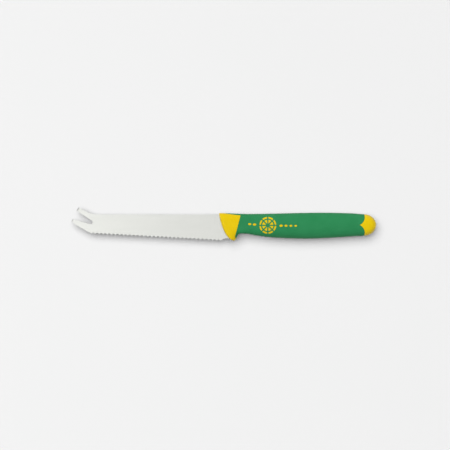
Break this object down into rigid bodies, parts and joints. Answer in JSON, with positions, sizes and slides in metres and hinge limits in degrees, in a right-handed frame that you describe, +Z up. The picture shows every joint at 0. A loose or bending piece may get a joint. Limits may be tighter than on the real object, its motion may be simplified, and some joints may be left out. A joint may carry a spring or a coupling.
{
  "type": "citrus knife",
  "caption": "Citrus knife with a forked, up-swept tip and a scalloped edge, a two-colour moulded handle with a finger guard, and a citrus-wheel inlay on the grip.",
  "frame": {"origin": "middle of the knife's length and height, on the surface that it lies on", "axes": "+X from the fork's tips to the butt, +Y from the scalloped edge to the spine, +Z up, out of the side with the inlay"},
  "size_m": [0.2268, 0.025, 0.0139],
  "materials": {
    "blade_steel": "satin stainless sheet with a fine lengthwise grain",
    "core_plastic": "smooth yellow moulded polypropylene",
    "grip_rubber": "satin green thermoplastic rubber, moulded over the core",
    "cap_plastic": "smooth yellow moulded polypropylene"
  },
  "bodies": {
    "root": {"blade": "blade_steel", "handle_core": "core_plastic", "grip": "grip_rubber", "butt_cap": "cap_plastic"}
  },
  "joints": []
}
